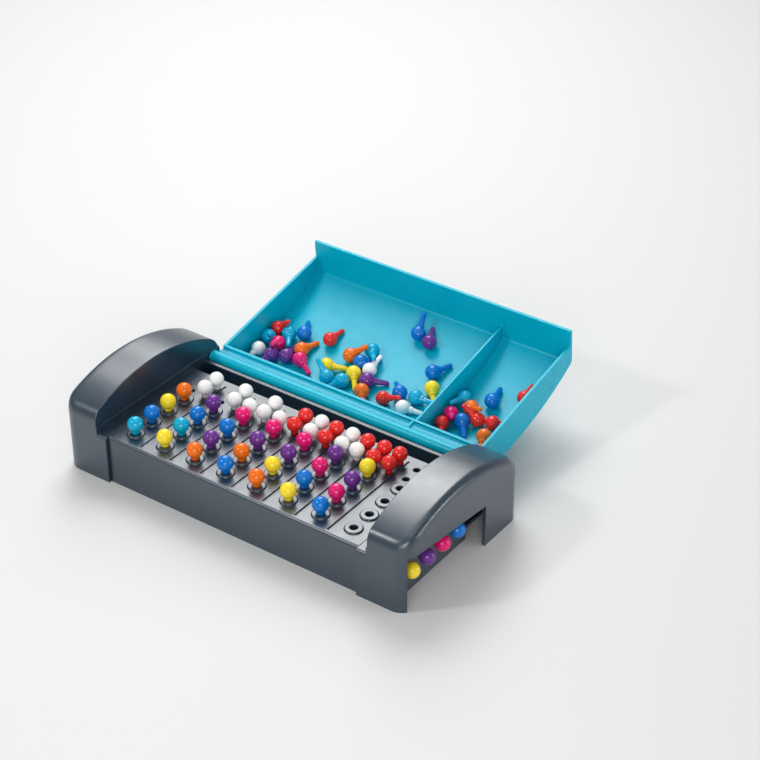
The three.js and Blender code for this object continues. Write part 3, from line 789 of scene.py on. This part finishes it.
def bottom_cover():
    inset = WALL + SEAT_GAP
    x, y = HALF_LENGTH - inset, HALF_DEPTH - inset
    step_x, step_y = SHELF_X + SEAT_GAP, -TRAY_FRONT_Y - inset
    step_corner, end_corner = 0.5, 0.8
    outline = rounded([
        (-x, -y, CHEEK_FRONT_ROUND - inset),
        (-step_x, -y, step_corner), (-step_x, -step_y, step_corner),
        (step_x, -step_y, step_corner), (step_x, -y, step_corner),
        (COVER_END_X, -y, end_corner), (COVER_END_X, y, end_corner),
        (-x, y, CHEEK_BACK_ROUND - inset),
    ], steps=6)
    places = SCREW_PLACES.values()
    return carved(
        "bottom", prism_z(outline, 0, COVER_THICKNESS),
        ("DIFFERENCE", at_each(lathe(HEAD_SINK, sides=36), places, 0)),
        ("DIFFERENCE", at_each(disc(SCREW_HOLE_RADIUS, -OVERRUN, OVERRUN, sides=24), places, 0)),
    )


def screw(name):
    section = [*SCREW_HEAD, (THREAD_RADIUS, SCREW_HEAD[-1][1])]
    z = THREAD_START_Z
    while z < THREAD_END_Z:
        crest_z = z + THREAD_FLANK
        section += [(THREAD_ROOT, z), (THREAD_RADIUS, crest_z), (THREAD_RADIUS, crest_z + THREAD_CREST)]
        z += THREAD_PITCH
    section += SCREW_TIP
    place = (*SCREW_PLACES[name], 0)
    arms = [prism(CROSS_ARM, -CROSS_REACH, CROSS_REACH) for prism in (prism_y, prism_x)]
    return carved(f"fine_{name}", moved(lathe(section, sides=28), place),
                  *[("DIFFERENCE", moved(arm, place)) for arm in arms])


dress(bottom_cover(), "base", slate, ["bottom_cover"], edge=0.2)
for screw_name in SCREW_PLACES:
    dress(screw(screw_name), "base", steel, [screw_name])
dress(base_tray(), "base", slate, ["base_tray"])
dress(left_housing(), "base", slate, ["left_end_housing"])
dress(hood(), "base", slate, ["right_hood"])
dress(code_rack(), "base", slate, ["code_rack"], edge=0.25)
dress(open_lid(), "lid", teal, ["lid"], edge=0.35)


# Pegs

TIP_SHARE = 0.86
STEM_SWELL, NECK_FLARE = 0.03, 0.05
SWELL_FROM, SWELL_TO = 1.2, 0.2
SMALL_STEPS, BALL_STEPS = 4, 14
PEG_SHARP_FROM_ANGLE = math.radians(45)


def peg_profile(ball, neck, stem, seat_drop, reach, tip):
    """A round head that flares into a tapering stem with a rounded tip."""
    profile = [(0, -reach)]
    for i in range(1, SMALL_STEPS + 1):
        angle = math.pi / 2 * i / SMALL_STEPS
        profile.append((stem * TIP_SHARE * math.sin(angle), -reach + tip * (1 - math.cos(angle))))
    profile.append((stem, -seat_drop - SWELL_FROM))
    profile.append((stem * (1 + STEM_SWELL), -seat_drop - SWELL_TO))
    profile.append((neck, -seat_drop))
    join = -math.acos(min(1, neck * (1 + NECK_FLARE) / ball))
    neck_length = ball * math.sin(join) + seat_drop
    for i in range(1, SMALL_STEPS + 1):
        share = i / (SMALL_STEPS + 1)
        profile.append((neck * (1 + NECK_FLARE * share ** 2), -seat_drop + neck_length * share))
    for i in range(BALL_STEPS):
        angle = join + (math.pi / 2 - join) * i / BALL_STEPS
        profile.append((ball * math.cos(angle), ball * math.sin(angle)))
    profile.append((0, ball))
    return profile


peg_solids = {
    "code": lathe(peg_profile(**CODE_PEG), sides=32),
    "key": lathe(peg_profile(**KEY_PEG), sides=28),
}
peg_meshes = {}


def peg_mesh(kind, colour):
    """The mesh that all pegs of one kind and colour share."""
    if (kind, colour) not in peg_meshes:
        mesh = mesh_of(f"{kind}_peg_{colour}", peg_solids[kind])
        mesh.shade_smooth()
        mesh.set_sharp_from_angle(angle=PEG_SHARP_FROM_ANGLE)
        mesh.materials.append(peg_plastics[colour])
        peg_meshes[kind, colour] = mesh
    return peg_meshes[kind, colour]


def add_peg(name, kind, colour, place, turn, body, replaced=()):
    """A peg at its ball's centre, in millimetres, with its stem along -Z before the turn."""
    thing = linked(name, peg_mesh(kind, colour))
    thing.rotation_mode = "QUATERNION"
    thing.rotation_quaternion = turn
    thing.location = [MM * c for c in place]
    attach(thing, body)
    if replaced:
        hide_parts(*replaced)


def dress_pegs():
    """A finer peg over each peg of the frame. Returns the heads over the deck as (centre, radius)."""
    slots = {row["node"]: row["material_slot"] for row in frame["record"]["subparts"]}
    heads = []
    for node in sorted(frame["nodes"]):
        if "_peg_" not in node:
            continue
        kind, peg = ("key", KEY_PEG) if node.startswith("key") else ("code", CODE_PEG)
        low, high = (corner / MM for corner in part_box(node))
        middle = (low + high) / 2
        turn = Quaternion((0, 0, 1), rng.uniform(0, math.pi))
        if node.startswith("secret"):
            place = (high.x - peg["ball"], middle.y, middle.z)
            turn = Quaternion((0, 1, 0), math.radians(90)) @ turn
        else:
            place = (middle.x, middle.y, high.z - peg["ball"])
            heads.append((place, peg["ball"]))
        colour = slots[node].replace("_peg", "")
        add_peg(f"fine_{node}", kind, colour, place, turn, node, [node])
    return heads


def add_white_key_pegs():
    """The white key pegs of the first two rows, which the frame lacks. Returns their heads."""
    z = DECK_Z + SEAT_GAP + KEY_PEG["seat_drop"]
    heads = []
    for row, letter in enumerate("ab"):
        for side, y in (("front", KEY_FRONT_Y), ("back", KEY_BACK_Y)):
            place = (row_x(row) + KEY_RIGHT_X, y, z)
            add_peg(f"white_key_peg_{letter}_{side}", "key", "white", place, Quaternion(), "base")
            heads.append((place, KEY_PEG["ball"]))
    return heads


seated_heads = dress_pegs() + add_white_key_pegs()


# Loose pegs, laid in the open lid

ROOMS = ((-LID_HALF + WALL, DIVIDER[0]), (DIVIDER[1], LID_HALF - WALL))
NEAR_Y, FAR_Y = 65.0, 142.0
HEAD_GAP, SHUT_GAP = 0.1, 0.3
SPREAD_ROUNDS = 90
NEAR_PEG, NEAR_SHUT_HEAD = 32.0, 24.0
STEM_SHARES = (0.55, 0.7, 0.85, 1)

# Turns aside that a stem tries, and how far it is lifted at most and at a time, all in degrees
ASIDES = (0, 12, -12, 24, -24, 36, -36, 50, -50, 70, -70, 90, -90, 120, -120, 150, -150, 180)
MOST_LIFT, LIFT_STEP = 60, 2

# The open lid's floor as (y, z), from the hinge side outwards
LID_FLOOR = sorted((point.y, point.z) for point in
                   (OPENER @ Vector((0, y, z)) for y, z in lid_section(WALL, LID_RIM_Z)[:-1]))

# Where the seated heads come to lie beside the loose pegs when the lid is shut
shut_heads = [(OPENER @ Vector(place), radius + SHUT_GAP) for place, radius in seated_heads]

# Colour, place of the head in X and Y, and the way the stem points, in degrees from +X towards +Y
LOOSE_PEGS = [
    ("red", -87, 103, -40), ("cyan", -87, 94, -45), ("cyan", -77, 102, -55), ("blue", -69, 106, 115),
    ("pink", -79, 92, -35), ("white", -86, 82, -100), ("purple", -74, 81, -110), ("purple", -66, 84, 105),
    ("orange", -61, 93, 75), ("pink", -58, 86, -25), ("yellow", -39, 89, 30), ("red", -51, 109, 85),
    ("cyan", -32, 80, 155), ("cyan", -22, 82, -140), ("orange", -31, 103, 25), ("blue", -22, 101, 120),
    ("cyan", -21, 112, -50), ("yellow", -20, 91, -50), ("white", -13, 98, 90), ("orange", -6, 80, -50),
    ("purple", -9, 90, 30), ("red", 9, 81, 5), ("blue", -2, 134, 100), ("purple", 8, 131, 90),
    ("blue", 23, 113, 65), ("yellow", 30, 102, -50), ("blue", 15, 90, 135), ("cyan", 26, 91, 0),
    ("white", 24, 80, 20), ("cyan", 52, 103, -60), ("orange", 58, 100, -30), ("red", 52, 80, -60),
    ("pink", 53, 89, -65), ("blue", 61, 88, -50), ("red", 69, 92, 150), ("red", 77, 94, 30),
    ("blue", 68, 109, 100), ("orange", 80, 82, -70), ("red", 84, 119, 100),
]


def room_of(head):
    return ROOMS[head.x > DIVIDER[0]]


def resting(x, y, radius):
    """The centre of a ball that rests on the lid's floor at x and y."""
    for (low_y, low_z), (high_y, high_z) in zip(LID_FLOOR, LID_FLOOR[1:]):
        if high_y >= y:
            break
    slope = (high_z - low_z) / (high_y - low_y)
    return Vector((x, y, low_z + slope * (y - low_y) + radius * math.hypot(1, slope)))


def peg_balls(peg, head, stem):
    """A peg as a row of balls (centre, radius), from its head to its tip."""
    reach = peg["reach"] - peg["stem"]
    balls = [(head, peg["ball"]), (head + stem * peg["seat_drop"], peg["neck"])]
    return balls + [(head + stem * (reach * share), peg["stem"]) for share in STEM_SHARES]


def clear(row, others, room):
    """Whether a row of balls is inside its room and touches none of the other rows."""
    for centre, radius in row:
        if not (room[0] + radius < centre.x < room[1] - radius and NEAR_Y < centre.y < FAR_Y):
            return False
    return all((a - b).length > r + q for other in others for a, r in row for b, q in other)


def part_from_neighbours(heads, radii, i):
    """Moves one head and those before it apart, and that head off the seated ones of the shut lid."""
    head = heads[i]
    for j in range(i):
        away = head - heads[j]
        short = radii[i] + radii[j] + HEAD_GAP - away.length
        if short > 0:
            push = away.normalized() * (short / 2)
            head += push
            heads[j] -= push
    for place, radius in shut_heads:
        short = radii[i] + radius - (head - place).length
        if short > 0:
            away = Vector((head.x - place.x, head.y - place.y, 0))
            head += away.normalized() * (short / 2)


def spread(heads, radii):
    """Moves the heads apart on the floor, as far as their rooms let them."""
    for _ in range(SPREAD_ROUNDS):
        for i in range(len(heads)):
            part_from_neighbours(heads, radii, i)
        for i, head in enumerate(heads):
            low_x, high_x = room_of(head)
            margin = radii[i] + HEAD_GAP
            x = min(max(head.x, low_x + margin), high_x - margin)
            y = min(max(head.y, NEAR_Y + radii[i]), FAR_Y - radii[i])
            heads[i] = resting(x, y, radii[i])
    return heads


def lay(index, peg, heading, laid):
    """Lowers a peg's stem until it meets the floor or its neighbours, turning it aside if it must."""
    head = laid[index][0][0]
    reach = peg["reach"] - peg["stem"]
    near = [row for i, row in enumerate(laid) if i != index and (row[0][0] - head).length < NEAR_PEG]
    near += [[shut] for shut in shut_heads if (shut[0] - head).length < NEAR_SHUT_HEAD]
    for aside in ASIDES:
        angle = math.radians(heading + aside)
        way = Vector((math.cos(angle), math.sin(angle), 0))
        foot = resting(head.x + way.x * reach, head.y + way.y * reach, peg["stem"])
        lowest = math.atan2(foot.z - head.z, reach)
        for lift in range(0, MOST_LIFT, LIFT_STEP):
            pitch = lowest + math.radians(lift)
            stem = way * math.cos(pitch) + Vector((0, 0, math.sin(pitch)))
            row = peg_balls(peg, head, stem)
            if clear(row[1:], near, room_of(head)):
                laid[index] = row
                return stem
    raise ValueError(f"no room for loose peg {index + 1}")


def add_loose_pegs():
    pegs = [KEY_PEG if colour in ("white", "red") else CODE_PEG for colour, *_ in LOOSE_PEGS]
    radii = [peg["ball"] for peg in pegs]
    heads = spread([resting(x, y, radius) for (_, x, y, _), radius in zip(LOOSE_PEGS, radii)], radii)
    laid = [[(head, radius)] for head, radius in zip(heads, radii)]
    for i, (colour, _, _, heading) in enumerate(LOOSE_PEGS):
        stem = lay(i, pegs[i], heading, laid)
        turn = Vector((0, 0, -1)).rotation_difference(stem)
        kind = "key" if pegs[i] is KEY_PEG else "code"
        add_peg(f"loose_peg_{i + 1:02d}_{colour}", kind, colour, heads[i], turn, "lid")


add_loose_pegs()


# Stage, light and camera, in metres

STAGE_HALF, STAGE_ROUGHNESS = 6, 0.6
STAGE_LOW, STAGE_HIGH = (0.7, 0.7, 0.69, 1), (0.74, 0.74, 0.73, 1)
STAGE_CLOUD_SCALE, STAGE_CLOUD_DETAIL = 3, 2
WORLD_COLOUR, WORLD_STRENGTH = (0.95, 0.97, 1, 1), 0.3
LAMPS = {
    "key": {"place": (-0.45, 0.5, 0.99), "aim": (0, 0.03, 0.03), "size": (0.75, 0.5), "watts": 7.2},
    "back": {"place": (-0.66, 0.95, 0.8), "aim": (0, 0, 0.03), "size": (0.6, 0.6), "watts": 4.6},
    "top": {"place": (0.25, 0, 1.15), "aim": (0, 0.02, 0.03), "size": (0.5, 0.5), "watts": 1},
    "right": {"place": (1.0, 0.45, 0.32), "aim": (0.1, 0, 0.03), "size": (0.5, 0.12), "watts": 2},
    "fill": {"place": (0.55, -0.8, 0.45), "aim": (0, 0, 0.03), "size": (0.6, 0.4), "watts": 4},
    "front": {"place": (-0.45, -0.62, 0.75), "aim": (0, 0, 0.03), "size": (0.12, 0.12), "watts": 2.6},
}
CAMERA_PLACE = (0.5823, -0.7279, 0.6812)
CAMERA_AZIMUTH, CAMERA_ELEVATION = math.radians(35.427), math.radians(33.095)
CAMERA_LENS = 94.74
CLIP_END = 20


def turn_towards(thing, way):
    """Turns a lamp or a camera to look that way, with its top up."""
    thing.rotation_mode = "QUATERNION"
    thing.rotation_quaternion = way.to_track_quat("-Z", "Y")


def pale_floor():
    half = STAGE_HALF
    mesh = bpy.data.meshes.new("floor")
    mesh.from_pydata([(-half, -half, 0), (half, -half, 0), (half, half, 0), (-half, half, 0)], [],
                     [(0, 1, 2, 3)])
    material, tree, surface = new_material("pale_floor")
    surface.inputs["Roughness"].default_value = STAGE_ROUGHNESS
    place = tree.nodes.new("ShaderNodeTexCoord").outputs["Generated"]
    clouds = noise(tree, STAGE_CLOUD_SCALE, STAGE_CLOUD_DETAIL, place)
    tint = mixed(tree, clouds, STAGE_LOW, STAGE_HIGH)
    tree.links.new(tint, surface.inputs["Base Color"])
    mesh.materials.append(material)
    floor = linked("floor", mesh)


def pale_world():
    world = bpy.data.worlds.new("world")
    world.use_nodes = True
    background = world.node_tree.nodes["Background"]
    background.inputs["Color"].default_value = WORLD_COLOUR
    background.inputs["Strength"].default_value = WORLD_STRENGTH
    scene.world = world


def add_lamp(name, place, aim, size, watts):
    data = bpy.data.lights.new(name, "AREA")
    data.shape = "RECTANGLE"
    data.size, data.size_y = size
    data.energy = watts
    thing = linked(name, data)
    thing.location = place
    turn_towards(thing, Vector(aim) - Vector(place))


def add_camera():
    data = bpy.data.cameras.new("camera")
    data.lens = CAMERA_LENS
    data.clip_end = CLIP_END
    camera = linked("camera", data)
    camera.location = CAMERA_PLACE
    level = math.cos(CAMERA_ELEVATION)
    turn_towards(camera, Vector((-math.sin(CAMERA_AZIMUTH) * level, math.cos(CAMERA_AZIMUTH) * level,
                                 -math.sin(CAMERA_ELEVATION))))
    scene.camera = camera


pale_floor()
pale_world()
for lamp_name, lamp in LAMPS.items():
    add_lamp(lamp_name, **lamp)
add_camera()
scene.view_settings.view_transform = "Standard"

bpy.context.view_layer.update()
